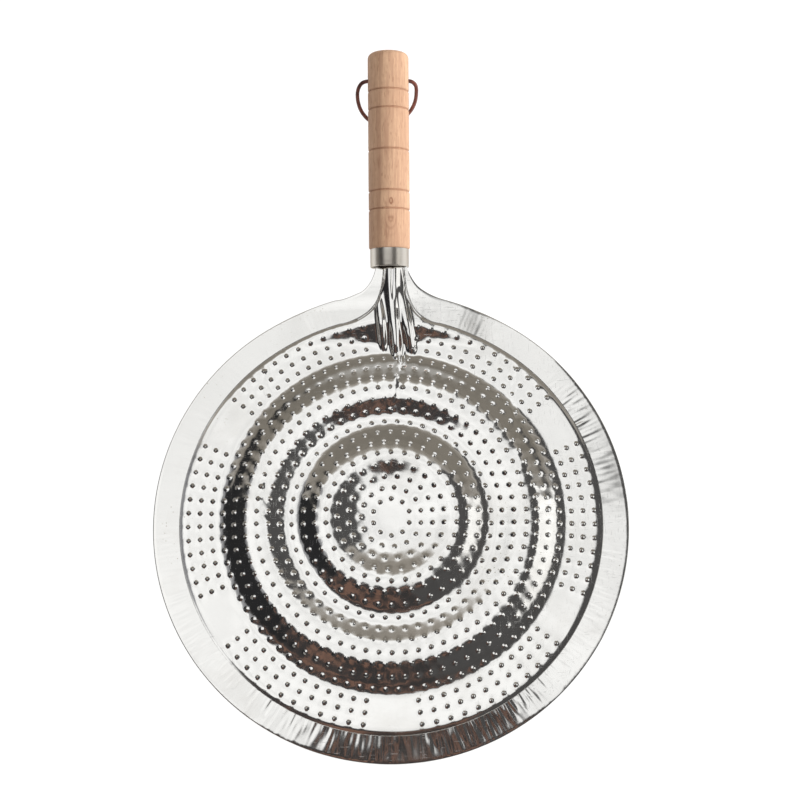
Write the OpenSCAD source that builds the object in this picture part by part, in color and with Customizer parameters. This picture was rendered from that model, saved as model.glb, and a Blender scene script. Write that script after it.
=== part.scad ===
// Stove-top heat diffuser. Two pressed tinplate discs are hemmed together round a hollow core,
// and their tongues are gathered into a neck that holds a turned wooden handle.
// The discs lie in XY with the pan side up (+Z), and the handle points along +Y.
// The origin is the middle of the flat pad on which the diffuser stands.

/* [Plates] */
// Outside diameter of the hemmed rim
plate_d = 210; // [200:1:230]
// Thickness of the tinplate
sheet_t = 0.4; // [0.3:0.05:0.6]
// Width of the hem, the base plate's edge folded over the top plate
hem_w = 11.8; // [8:0.2:13]
// Depth of the base plate's pad and ring under the seam
base_depth = 5.5; // [4:0.5:7]

/* [Pressed rings] */
// Height of the inner ring above the top plate's edge
ring_1_rise = 7.5; // [6:0.5:9]
// Height of the outer ring above the top plate's edge
ring_2_rise = 5.5; // [4:0.5:6]
// Height of the trough between the rings, above that edge
trough_rise = 3.5; // [1:0.5:4]
// Height of the flat middle above that edge
middle_rise = 5.3; // [3:0.1:6]
// Height of the flat border above that edge, which lies under the hem
border_rise = 0.7; // [0:0.1:1]
// Radius of the flat middle of the top plate
middle_r = 16; // [12:0.5:18]
// Radius where the inner ring's flat crest starts
ring_1_in = 26.5; // [25:0.5:28]
// Radius where the inner ring's flat crest ends
ring_1_out = 31.5; // [30:0.5:34]
// Radius where the trough starts
trough_in = 43; // [41:0.5:45]
// Radius where the trough ends
trough_out = 48.5; // [46:0.5:50]
// Radius where the outer ring's flat crest starts
ring_2_in = 55.5; // [54:0.5:57]
// Radius where the outer ring's flat crest ends
ring_2_out = 62; // [60:0.5:64]
// Radius where the flat border starts
border_in = 74; // [72:0.5:76]

/* [Perforation] */
// Pierce the rows of holes right through the plates
pierced = true; // [true, false]
// Diameter of a hole
hole_d = 0.4; // [0.3:0.1:1.2]
// Radius of the innermost row
row_first_r = 8.3; // [7:0.1:9]
// Distance from one row to the next
row_step = 5.06; // [5:0.01:5.1]
// Most holes in one row
row_most = 90; // [60:6:96]

/* [Neck and handle] */
// Angle of the handle above the plates
handle_raise = 15; // [5:1:20]
// Distance from the plates' middle to the ferrule's mouth
neck_y = 117.5; // [116:0.5:130]
// Height of the handle's axis above the seam, at the ferrule's mouth
neck_lift = 3.5; // [3:0.5:6]
// Half width of the neck at the ferrule's mouth
neck_r = 7.2; // [6:0.1:7.5]
// Radius of the curve that joins the neck to the rim
flare_r = 24; // [18:1:28]
// Length of the tang inside the handle
tang_l = 32; // [20:1:40]
// Diameter of the wooden handle
handle_d = 19; // [18:0.5:24]
// Length of the wood outside the ferrule
handle_l = 91; // [85:1:110]
// Depth of the turned grooves
groove_depth = 0.6; // [0.3:0.1:1]

/* [Ferrule and loop] */
// Length of the ferrule
ferrule_l = 8.4; // [7:0.1:12]
// Diameter of the ferrule
ferrule_d = 17.8; // [17:0.1:18]
// Diameter of the hole that the loop goes through
loop_hole_d = 3; // [2.4:0.1:4]
// Distance of that hole from the handle's end
loop_hole_end = 12.7; // [11:0.1:14]
// Diameter of the loop's cord
cord_d = 1.8; // [1.4:0.1:2]
// Angle between the hanging loop and the underside of the handle
loop_angle = 31; // [31:1:90]

/* [Hidden] */
$fn = 96;

seam_z = sheet_t + base_depth;       // plane where the two plates touch
edge_r = plate_d / 2 - 1.5 * sheet_t; // centre of the hem's bend
base_trough = 0.8;                   // depth of the base plate's trough under the seam
pad_r = ring_1_out;                  // flat pad under the base plate
hem_in = plate_d / 2 - hem_w;        // the hem's inner edge
border_out = hem_in - 1.5;           // where the border steps down beside the hem
rows = 17;                           // rows of holes
open_rows = 14;                      // rows with no blank sectors
blank_step = 60;                     // angle from one blank sector to the next
blank_half = 8;                      // half the angle of a blank sector
gap = 0.1;                           // clearance of the plate's edge, the tang and the spigot
slice = 0.02;                        // thickness of the end slices of the neck's blend
root_half = neck_r + 6;              // half the width of the neck where it leaves the rim
neck_root_y = plate_d / 2 - 4;       // where the upper half of the neck starts to rise

// Height of the top plate's upper face over its edge, at the corners of the pressing
top_line = [
    [0, middle_rise], [middle_r, middle_rise],
    [ring_1_in, ring_1_rise], [ring_1_out, ring_1_rise],
    [trough_in, trough_rise], [trough_out, trough_rise],
    [ring_2_in, ring_2_rise], [ring_2_out, ring_2_rise],
    [border_in, border_rise], [border_out, border_rise], [hem_in, 0], [edge_r - gap, 0]
];

// Depth of the base plate's lower face under its flat border, at the corners of the pressing
base_line = [
    [0, base_depth], [pad_r, base_depth],
    [trough_in, base_trough], [trough_out, base_trough],
    [ring_2_in, base_depth], [ring_2_out, base_depth],
    [border_in, 0], [edge_r, 0]
];

wood_start = 1.2;                    // the wood's end face, inside the ferrule
ferrule_wall = 0.45;
ferrule_lip = 0.5;                   // radius of the ferrule's rolled lip
spigot_r = ferrule_d / 2 - ferrule_wall;
handle_end = ferrule_l + handle_l;
handle_mid = ferrule_l + handle_l / 2;
shoulder = 0.7;                      // chamfer beside the ferrule
end_round = 2.6;                     // rounding of the handle's free end
groove_half = 0.55;                  // half the width of a groove
grooves = [-27.5, -19, 0, 19, 27.5]; // grooves along the handle, from its middle
tang_r = 5;
bore_l = tang_l + 1;
loop_at = handle_end - loop_hole_end;
cord_sides = 8;

// The loop's centreline in its own flat plane: across the handle, then away from the hole
loop_route = [
    [0.2, 0], [5, 0], [9, 0], [10.5, 0.2], [11.7, 0.9], [12.6, 2], [13, 3.6], [13, 5.6],
    [12.8, 8], [12.2, 10.5], [11.2, 12.8], [9.8, 14.9], [8, 16.8], [5.8, 18.7], [3.2, 20.2],
    [0.2, 21], [-3, 21.1], [-6.2, 20.4], [-9, 18.7], [-11.3, 16.4], [-13, 13.6], [-14, 10.5],
    [-14.4, 7.4], [-14.2, 4.6], [-13.4, 2.4], [-12.2, 0.9], [-10.7, 0.2], [-9, 0], [-5, 0],
    [-0.2, 0]
];

// Holes in row i of the perforation
function row_count(i) = min(row_most, max(5 * (i + 1), 6 * i));

// True where a hole of an outer row falls in a blank sector
function blank(i, a) =
    i > open_rows && abs((a + 360) % blank_step - blank_step / 2) < blank_half;

// Closed outline of a sheet: the given line, and the same line one sheet lower
function sheet_outline(line) = concat(
    line,
    [for (i = [len(line) - 1:-1:0]) line[i] - [0, sheet_t]]
);

// Puts its children on the handle's axis, with Z along it and the ferrule's mouth at Z = 0
module on_handle() {
    translate([0, neck_y, seam_z + neck_lift]) rotate([handle_raise - 90, 0, 0]) children();
}

// The rows of holes, as drills
module drills() {
    for (i = [1:rows]) {
        count = row_count(i);
        for (k = [0:count - 1]) {
            a = (k + 0.5) * 360 / count;
            if (!blank(i, a))
                rotate([0, 0, a])
                    translate([row_first_r + (i - 1) * row_step, 0, -1])
                        cylinder(d = hole_d, h = seam_z + ring_1_rise + 3, $fn = 16);
        }
    }
}

// Flat outline of the neck, between the rim and the ferrule's mouth
module flare_outline() {
    side_x = neck_r + flare_r;
    side_y = sqrt(pow(plate_d / 2 + flare_r, 2) - pow(side_x, 2));
    root_x = side_x * plate_d / 2 / (plate_d / 2 + flare_r);
    root_y = side_y * plate_d / 2 / (plate_d / 2 + flare_r);
    difference() {
        translate([-root_x, root_y - hem_w / 2])
            square([2 * root_x, neck_y - 6 - root_y + hem_w / 2]);
        for (s = [-1, 1]) translate([s * side_x, side_y]) circle(r = flare_r);
    }
}

// One plate's half of the gathered neck: side is 1 for the upper half and -1 for the lower,
// which starts to rise only past the top plate's edge
module neck_half(side) {
    root_y = side > 0 ? neck_root_y : edge_r;
    hull() {
        translate([-root_half, root_y, seam_z + (side > 0 ? 0 : -sheet_t)])
            cube([2 * root_half, slice, sheet_t]);
        on_handle() half_round(neck_r, slice, side);
    }
    on_handle() half_round(tang_r - gap, tang_l, side);
}

// Half of a round bar on the handle's axis, above or below its middle plane
module half_round(r, l, side) {
    intersection() {
        cylinder(r = r, h = l);
        translate([-r, side > 0 ? -r : 0, 0]) cube([2 * r, r, l]);
    }
}

module base_plate() {
    color("gainsboro") {
        difference() {
            union() {
                rotate_extrude() {
                    translate([0, seam_z])
                        polygon(sheet_outline([for (p = base_line) [p[0], -p[1]]]));
                    hem_profile();
                }
                translate([0, 0, seam_z - sheet_t]) linear_extrude(sheet_t) flare_outline();
            }
            hem_opening();
            if (pierced) drills();
        }
        neck_half(-1);
    }
}

// Where the hem stops on each side of the neck
module hem_opening() {
    translate([-root_half - gap, plate_d / 2 - hem_w - 1, seam_z])
        cube([2 * (root_half + gap), 2 * hem_w, 2 * sheet_t + 1]);
}

// The bend of the hem and its flat band over the top plate
module hem_profile() {
    translate([edge_r, seam_z + sheet_t / 2]) intersection() {
        difference() {
            circle(r = 1.5 * sheet_t);
            circle(r = sheet_t / 2);
        }
        translate([0, -2 * sheet_t]) square([2 * sheet_t, 4 * sheet_t]);
    }
    translate([hem_in, seam_z + sheet_t]) square([edge_r - hem_in, sheet_t]);
}

module top_plate() {
    color("whitesmoke")
    difference() {
        union() {
            rotate_extrude()
                translate([0, seam_z + sheet_t]) polygon(sheet_outline(top_line));
            neck_half(1);
        }
        if (pierced) drills();
    }
}

module ferrule() {
    r = ferrule_d / 2;
    color("silver")
    on_handle() rotate_extrude() {
        translate([r - ferrule_lip, ferrule_lip]) circle(r = ferrule_lip, $fn = 32);
        translate([spigot_r, ferrule_lip]) square([ferrule_wall, ferrule_l - ferrule_lip]);
    }
}

// One V-groove round the handle, as a ring to cut away
module groove_ring(z) {
    r = handle_d / 2;
    rotate_extrude() polygon([
        [r - groove_depth, z], [r + 1, z - groove_half * 2.5], [r + 1, z + groove_half * 2.5]
    ]);
}

module handle() {
    r = handle_d / 2;
    color("burlywood")
    on_handle() difference() {
        rotate_extrude() {
            translate([0, wood_start]) square([spigot_r - gap / 2, ferrule_l - wood_start + 1]);
            polygon([
                [0, ferrule_l], [spigot_r, ferrule_l], [r, ferrule_l + shoulder],
                [r, handle_end - end_round], [0, handle_end - end_round]
            ]);
            translate([0, handle_end - end_round])
                square([r - end_round, end_round]);
            translate([r - end_round, handle_end - end_round]) intersection() {
                circle(r = end_round);
                square(end_round);
            }
        }
        for (g = grooves) groove_ring(handle_mid + g);
        translate([0, 0, wood_start - 1]) cylinder(r = tang_r, h = bore_l);
        translate([-r - 1, 0, loop_at]) rotate([0, 90, 0])
            cylinder(d = loop_hole_d, h = handle_d + 2);
    }
}

// Puts its children in the loop's plane, with X across the handle and Y away from the hole
module on_loop() {
    on_handle() translate([0, 0, loop_at]) rotate([-90 + loop_angle, 0, 0]) children();
}

module hang_loop() {
    n = len(loop_route);
    along = [for (i = [0:n - 1]) loop_route[min(i + 1, n - 1)] - loop_route[max(i - 1, 0)]];
    points = [
        for (i = [0:n - 1]) for (k = [0:cord_sides - 1])
            let (a = 360 * (k + 0.5) / cord_sides, t = along[i] / norm(along[i]), r = cord_d / 2)
            [
                loop_route[i][0] + r * cos(a) * t[1],
                loop_route[i][1] - r * cos(a) * t[0],
                r * sin(a)
            ]
    ];
    sides = [
        for (i = [0:n - 2]) for (k = [0:cord_sides - 1])
            let (a = i * cord_sides + k, b = i * cord_sides + (k + 1) % cord_sides)
            [a, b, b + cord_sides, a + cord_sides]
    ];
    first = [for (k = [cord_sides - 1:-1:0]) k];
    last = [for (k = [0:cord_sides - 1]) (n - 1) * cord_sides + k];
    color("sienna") on_loop() polyhedron(points, concat(sides, [first, last]));
}

base_plate();
top_plate();
ferrule();
handle();
hang_loop();
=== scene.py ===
import math
import random

import bpy
from mathutils import Matrix, Vector, noise
from mathutils.geometry import delaunay_2d_cdt
from mathutils.kdtree import KDTree


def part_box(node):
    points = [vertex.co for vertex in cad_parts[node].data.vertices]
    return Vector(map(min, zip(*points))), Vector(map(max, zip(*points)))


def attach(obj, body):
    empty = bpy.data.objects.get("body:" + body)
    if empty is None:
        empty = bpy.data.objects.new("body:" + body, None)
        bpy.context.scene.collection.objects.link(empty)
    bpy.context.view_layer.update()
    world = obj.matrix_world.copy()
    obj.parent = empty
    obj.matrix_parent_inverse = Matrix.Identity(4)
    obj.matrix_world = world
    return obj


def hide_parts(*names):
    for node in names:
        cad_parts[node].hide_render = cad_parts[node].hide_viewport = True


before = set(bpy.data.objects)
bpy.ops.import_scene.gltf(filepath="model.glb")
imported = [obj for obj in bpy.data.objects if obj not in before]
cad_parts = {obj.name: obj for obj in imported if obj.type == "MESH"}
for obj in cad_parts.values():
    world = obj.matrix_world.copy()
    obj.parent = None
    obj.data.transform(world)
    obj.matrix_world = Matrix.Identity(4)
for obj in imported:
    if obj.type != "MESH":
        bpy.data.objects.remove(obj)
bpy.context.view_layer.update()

mm = 0.001
print("frame loaded")

# The diffuser stands on z = 0 with its middle at the origin, and the handle points along +Y
plate = {
    "rimRadius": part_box("base_plate")[1].x,
    "seam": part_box("top_plate")[0].z,  # plane where the two plates touch
    "sheet": 0.4 * mm,
    "hemWidth": 11.8 * mm,
}
neck = {
    "raise": math.radians(15),  # handle above the plates
    "mouthY": 117.5 * mm,  # middle of the ferrule's mouth
    "lift": 3.5 * mm,  # handle's axis above the seam, there
    "channel": 10 * mm,  # depth of its round underside
    "channelHalf": 7.4 * mm,
    "channelFrom": 96 * mm,  # where the underside starts to sink
    "channelRun": 20 * mm,
    "sheetEnd": 118.6,  # where the sheets end inside the ferrule, in mm
}
along = Vector((0, math.cos(neck["raise"]), math.sin(neck["raise"])))
upward = Vector((0, -math.sin(neck["raise"]), math.cos(neck["raise"])))
mouth = Vector((0, neck["mouthY"], plate["seam"] + neck["lift"]))


def onHandle(x, distance, height):
    return mouth + Vector((x, 0, 0)) + along * distance + upward * height


def smooth(t):
    t = max(0.0, min(1.0, t))
    return t * t * (3 - 2 * t)


def blendLine(points, t):  # smooth run through a few (position, value) pairs
    if t <= points[0][0]:
        return points[0][1]
    for (a, u), (b, v) in zip(points, points[1:]):
        if t <= b:
            return u + (v - u) * smooth((t - a) / (b - a))
    return points[-1][1]


def linear(points, t):  # straight run through (position, value) pairs
    if t <= points[0][0]:
        return points[0][1]
    for (a, u), (b, v) in zip(points, points[1:]):
        if t <= b:
            return u + (v - u) * (t - a) / (b - a)
    return points[-1][1]


def deselectAll():
    if bpy.context.object and bpy.context.object.mode != "OBJECT":
        bpy.ops.object.mode_set(mode="OBJECT")
    bpy.ops.object.select_all(action="DESELECT")


def pick(piece):
    deselectAll()
    piece.select_set(True)
    bpy.context.view_layer.objects.active = piece


def applyAll(piece):
    pick(piece)
    for modifier in list(piece.modifiers):
        bpy.ops.object.modifier_apply(modifier=modifier.name)


def addMesh(name, points, faces):
    mesh = bpy.data.meshes.new(name)
    mesh.from_pydata(points, [], faces)
    mesh.validate()
    piece = bpy.data.objects.new(name, mesh)
    bpy.context.collection.objects.link(piece)
    return piece


def finishPiece(piece, body, material, angle=40):
    pick(piece)
    bpy.ops.object.shade_smooth_by_angle(angle=math.radians(angle))
    piece.data.materials.clear()
    piece.data.materials.append(material)
    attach(piece, body)


camera = {"lens": 63.9, "tilt": 16.5, "roll": 0.45, "x": 4.3 * mm, "y": -127.4 * mm, "height": 615 * mm}


def addCamera():
    bpy.ops.object.camera_add(
        location=(camera["x"], camera["y"], plate["seam"] + camera["height"]),
        rotation=(math.radians(camera["tilt"]), 0, 0),
    )
    made = bpy.context.object
    made.rotation_euler.rotate_axis("Z", math.radians(-camera["roll"]))
    made.data.lens = camera["lens"]
    made.data.sensor_width = 36
    made.data.clip_start = 0.01
    bpy.context.scene.camera = made


addCamera()
print("camera placed")

loop = {
    "holeDistance": 86.7 * mm,
    "holeRadius": 1.5 * mm,
    "angle": math.radians(31),  # to the underside of the handle
    "diameter": 1.8 * mm,
    "length": 80.6 * mm,
    "route": [
        (0.2, 0), (5, 0), (9, 0), (10.5, 0.2), (11.7, 0.9), (12.6, 2), (13, 3.6), (13, 5.6),
        (12.8, 8), (12.2, 10.5), (11.2, 12.8), (9.8, 14.9), (8, 16.8), (5.8, 18.7), (3.2, 20.2),
        (0.2, 21), (-3, 21.1), (-6.2, 20.4), (-9, 18.7), (-11.3, 16.4), (-13, 13.6), (-14, 10.5),
        (-14.4, 7.4), (-14.2, 4.6), (-13.4, 2.4), (-12.2, 0.9), (-10.7, 0.2), (-9, 0), (-5, 0),
        (-0.2, 0),
    ],
}


def loopPoint(x, out):
    return onHandle(
        x, loop["holeDistance"] - out * math.cos(loop["angle"]), -out * math.sin(loop["angle"])
    )


def addLoop(material):
    curve = bpy.data.curves.new("hangLoop", "CURVE")
    curve.dimensions = "3D"
    curve.resolution_u = 6
    curve.bevel_depth = loop["diameter"] / 2
    curve.bevel_resolution = 4
    curve.use_fill_caps = True
    spline = curve.splines.new("BEZIER")
    spline.bezier_points.add(len(loop["route"]) - 1)
    for point, (x, out) in zip(spline.bezier_points, loop["route"]):
        point.co = loopPoint(x * mm, out * mm)
        point.handle_left_type = point.handle_right_type = "AUTO"
    piece = bpy.data.objects.new("hangLoop", curve)
    bpy.context.collection.objects.link(piece)
    curve.materials.append(material)
    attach(piece, "loop")
    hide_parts("hang_loop")


def newMaterial(name):
    material = bpy.data.materials.new(name)
    material.use_nodes = True
    tree = material.node_tree
    return material, tree, tree.nodes["Principled BSDF"]


def addNode(tree, kind, settings=None, **inputs):
    node = tree.nodes.new(kind)
    for key, value in (settings or {}).items():
        setattr(node, key, value)
    for key, value in inputs.items():
        socket = node.inputs[int(key[1:])] if key[1:].isdigit() else node.inputs[key.replace("_", " ")]
        if isinstance(value, bpy.types.NodeSocket):
            tree.links.new(value, socket)
        else:
            socket.default_value = value
    return node


def calc(tree, operation, a, b=0.0, c=0.0, clamp=False):
    return addNode(
        tree, "ShaderNodeMath", {"operation": operation, "use_clamp": clamp}, i0=a, i1=b, i2=c
    ).outputs[0]


def fade(tree, value, low, high, toLow=0.0, toHigh=1.0):
    return addNode(
        tree, "ShaderNodeMapRange", {"interpolation_type": "SMOOTHSTEP"},
        i0=value, i1=low, i2=high, i3=toLow, i4=toHigh,
    ).outputs[0]


def mixColour(tree, factor, a, b, how="MIX"):
    node = addNode(tree, "ShaderNodeMix", {"data_type": "RGBA", "blend_type": how})
    for socket, value in ((node.inputs[0], factor), (node.inputs[6], a), (node.inputs[7], b)):
        if isinstance(value, bpy.types.NodeSocket):
            tree.links.new(value, socket)
        else:
            socket.default_value = value
    return node.outputs[2]


def noiseTexture(tree, vector, scale, detail=3.0, rough=0.5, distortion=0.0):
    return addNode(
        tree, "ShaderNodeTexNoise", None, Vector=vector, Scale=scale, Detail=detail,
        Roughness=rough, Distortion=distortion,
    ).outputs[0]


def mapped(tree, vector, location=(0, 0, 0), rotation=(0, 0, 0), scale=(1, 1, 1), kind="POINT"):
    return addNode(
        tree, "ShaderNodeMapping", {"vector_type": kind}, i0=vector, i1=location, i2=rotation,
        i3=scale,
    ).outputs[0]


def newGroup(name, inputs, outputs):
    group = bpy.data.node_groups.new(name, "ShaderNodeTree")
    for socketName, kind, value in inputs:
        socket = group.interface.new_socket(socketName, in_out="INPUT", socket_type=kind)
        if value is not None:
            socket.default_value = value
    for socketName, kind in outputs:
        group.interface.new_socket(socketName, in_out="OUTPUT", socket_type=kind)
    return group, group.nodes.new("NodeGroupInput"), group.nodes.new("NodeGroupOutput")


def useGroup(tree, group, **inputs):
    return addNode(tree, "ShaderNodeGroup", {"node_tree": group}, **inputs)


# Handling marks: fine scratches in two directions, and soft dull patches
def makeHandlingMarks():
    group, given, out = newGroup(
        "handlingMarks",
        [("Vector", "NodeSocketVector", None), ("Scale", "NodeSocketFloat", 60.0),
         ("Turn", "NodeSocketVector", (0, 0, 0.5))],
        [("Scratches", "NodeSocketFloat"), ("Patches", "NodeSocketFloat")],
    )
    links = group.links
    lines = []
    for stretch in ((1, 26, 1), (22, 1, 1)):
        turned = addNode(group, "ShaderNodeMapping", None, i0=given.outputs["Vector"], i3=stretch)
        links.new(given.outputs["Turn"], turned.inputs[2])
        texture = addNode(group, "ShaderNodeTexNoise", None, Detail=2.0, Roughness=0.6)
        links.new(turned.outputs[0], texture.inputs["Vector"])
        links.new(given.outputs["Scale"], texture.inputs["Scale"])
        lines.append(fade(group, texture.outputs[0], 0.66, 0.74))
    links.new(calc(group, "MAXIMUM", lines[0], lines[1]), out.inputs["Scratches"])
    patch = noiseTexture(group, given.outputs["Vector"], 38.0, 4.0, 0.6)
    links.new(fade(group, patch, 0.5, 0.72), out.inputs["Patches"])
    return group


handlingMarks = makeHandlingMarks()

tin = {
    "colour": (0.93, 0.925, 0.91, 1),
    "dullColour": (0.78, 0.76, 0.73, 1),
    "stainColour": (0.62, 0.6, 0.5, 1),
    "rough": 0.07,
    "roughSpread": 0.05,
}


def makeTin(name, turn, brushed):
    material, tree, shader = newMaterial(name)
    place = addNode(tree, "ShaderNodeTexCoord").outputs["Object"]
    marks = useGroup(tree, handlingMarks, Vector=place, Scale=170.0, Turn=(0, 0, turn))
    specks = addNode(
        tree, "ShaderNodeTexVoronoi", {"feature": "F1"}, Vector=place, Scale=420.0, Randomness=1.0
    ).outputs[0]
    where = fade(tree, noiseTexture(tree, place, 26.0, 2.0), 0.56, 0.66)
    stain = calc(tree, "MULTIPLY", fade(tree, specks, 0.16, 0.05), where)
    cloud = noiseTexture(tree, place, 90.0, 5.0, 0.65)
    colour = mixColour(
        tree, calc(tree, "MULTIPLY", marks.outputs["Patches"], 0.35), tin["colour"], tin["dullColour"]
    )
    colour = mixColour(tree, calc(tree, "MULTIPLY", stain, 0.8), colour, tin["stainColour"])
    tree.links.new(colour, shader.inputs["Base Color"])
    shader.inputs["Metallic"].default_value = 1.0
    rough = fade(tree, cloud, 0.35, 0.75, tin["rough"], tin["rough"] + tin["roughSpread"])
    rough = calc(tree, "MULTIPLY_ADD", marks.outputs["Patches"], 0.05, rough)
    rough = calc(tree, "MULTIPLY_ADD", marks.outputs["Scratches"], 0.12, rough)
    rough = calc(tree, "ADD", rough, brushed)
    tree.links.new(calc(tree, "MULTIPLY_ADD", stain, 0.25, rough), shader.inputs["Roughness"])
    ripple = noiseTexture(tree, place, 120.0, 3.0, 0.5)
    height = calc(tree, "MULTIPLY_ADD", marks.outputs["Scratches"], -0.25, ripple)
    bump = addNode(tree, "ShaderNodeBump", None, Strength=0.12, Distance=0.0002, Height=height)
    tree.links.new(bump.outputs[0], shader.inputs["Normal"])
    return material


topTin = makeTin("topTin", 0.5, 0.0)
hemTin = makeTin("hemTin", 0.9, 0.015)
baseTin = makeTin("baseTin", 1.3, 0.06)

dimple = {
    "radius": 1.5 * mm,
    "sides": 8,
    "rings": [0.205, 0.205, 0.205, 0.215],  # each inset, as a share of the radius
    "height": 0.36 * mm,
    "profile": [(0.0, 1.0), (0.1, 0.99), (0.33, 0.8), (0.56, 0.36), (0.78, 0.07), (1.0, 0.0)],
    "skirt": 0.1 * mm,  # how far the sheet round a pimple is drawn up with it
    "skirtRadius": 1.9 * mm,
    "firstRow": 8.3 * mm,
    "rowStep": 5.06 * mm,
    "rows": 17,
    "most": 90,
    "openRows": 14,
    "blankStep": 60,
    "blankHalf": 8,
}


def dimplePlaces():
    places = []
    for row in range(1, dimple["rows"] + 1):
        number = min(dimple["most"], max(5 * (row + 1), 6 * row))
        radius = dimple["firstRow"] + (row - 1) * dimple["rowStep"]
        for k in range(number):
            degrees = (k + 0.5) * 360 / number
            blank = abs(degrees % dimple["blankStep"] - dimple["blankStep"] / 2) < dimple["blankHalf"]
            if row <= dimple["openRows"] or not blank:
                turn = math.radians(degrees)
                places.append((radius * math.cos(turn), radius * math.sin(turn), turn))
    return places


def makeDimple():  # one pimple with an open pierced tip, standing on z = 0
    deselectAll()
    bpy.ops.mesh.primitive_circle_add(
        vertices=dimple["sides"], radius=dimple["radius"], fill_type="NGON"
    )
    piece = bpy.context.object
    bpy.ops.object.mode_set(mode="EDIT")
    bpy.ops.mesh.select_all(action="SELECT")
    for share in dimple["rings"]:
        bpy.ops.mesh.inset(thickness=dimple["radius"] * share)
    bpy.ops.mesh.delete(type="ONLY_FACE")
    bpy.ops.object.mode_set(mode="OBJECT")
    for v in piece.data.vertices:
        r = v.co.xy.length / dimple["radius"]
        v.co.z = dimple["height"] * linear(dimple["profile"], r)
    return piece


pressing = {
    "soften": 0.8 * mm,  # how far each corner of the pressing is rounded
    "topLine": [
        (0, 7.5), (29, 7.5), (44, 3.3), (44.5, 3.3), (57, 5.6), (60.5, 5.6), (77.5, 0.7), (106, 0.7),
    ],
    "baseLine": [
        (0, 4.75), (30, 4.75), (44.5, 0.8), (47, 0.8), (56.5, 4.75), (61, 4.75), (77.5, 0), (106, 0),
    ],
    "dish": -3.4,  # depth of the middle, in mm
    "dishFlat": 5,  # radius of its flat floor, in mm
    "dishEdge": 26.5,
    "dishPower": 1.8,  # how much it steepens towards its edge
    "pull": 0.8 * mm,  # how far the neck draws the outer ring up
    "pullHalf": 54 * mm,
    "pullRise": (44, 57),  # radii between which that starts, in mm
    "pullFall": (61, 77),  # and ends
    "dent": (-1 * mm, 17.5 * mm, 0.6 * mm, 5 * mm),  # place, depth and size
    "borderRise": 0.7 * mm,  # the border stands this much over the sheet under the hem
    "borderStep": 1.4 * mm,  # width of the step down to it
    "wave": 0.2 * mm,  # unevenness of the hand-fed pressing
    "waveLength": 24 * mm,
    "rippleLength": 8 * mm,
    "evenFrom": 93 * mm,  # the border is even
    "evenStep": 6 * mm,
}
softSamples = [-1, -0.75, -0.5, -0.25, 0, 0.25, 0.5, 0.75, 1]


def softened(line, r, width):
    total = 0.0
    for share in softSamples:
        at = abs(r + width * share) / mm
        total += blendLine(line, at)
        if line is pressing["topLine"] and at < pressing["dishEdge"]:
            across = (at - pressing["dishFlat"]) / (pressing["dishEdge"] - pressing["dishFlat"])
            total += pressing["dish"] * (1 - max(0, across) ** pressing["dishPower"])
    return total / len(softSamples) * mm


def softenedTable(line, width, step=0.25 * mm, reach=107 * mm):
    return [softened(line, i * step, width) for i in range(int(reach / step) + 2)], step


def lookUp(table, r):
    values, step = table
    i = min(int(r / step), len(values) - 2)
    f = min(r / step - i, 1)
    return values[i] * (1 - f) + values[i + 1] * f


topTable = softenedTable(pressing["topLine"], pressing["soften"])
baseTable = softenedTable(pressing["baseLine"], pressing["soften"])


def uneven(x, y, seed):  # fades out towards the border
    inner = smooth((pressing["evenFrom"] - math.hypot(x, y)) / pressing["evenStep"])
    big = noise.noise(Vector((x / pressing["waveLength"], y / pressing["waveLength"], seed)))
    small = noise.noise(Vector((x / pressing["rippleLength"], y / pressing["rippleLength"], seed + 9)))
    return pressing["wave"] * (big + 0.2 * small) * inner


gather = {
    "reach": 56 * mm,  # how far along the rim the neck pulls it up
    "start": 0.3,  # share of that in which the lift starts gently
    "slope": 0.38,
    "easing": 1.2,  # loss of slope for each metre away from the neck
    "rise": 4.3 * mm,
    "mouthRise": 2.8 * mm,  # and up again to the ferrule's mouth
    "mouthFrom": 97 * mm,
    "ramp": 91 * mm,  # radius where the sheets stop rising
    # edges of the neck: (distance from the middle, half width), in mm
    "outerLeft": [
        (95, 45), (101.5, 24), (104.4, 15.2), (108, 10.2), (111.5, 8), (115, 6.8), (118, 6.2), (124, 6),
    ],
    "outerRight": [
        (95, 45), (101.8, 24.6), (105, 17.2), (108, 12.8), (111, 10.4), (114, 8.9), (118, 7.6), (124, 7.2),
    ],
    "foldFrom": 46 * mm,
    "foldHalf": 20 * mm,
    "foldFade": 1.5 * mm,  # the folds fade out this near the hem
}
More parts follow.
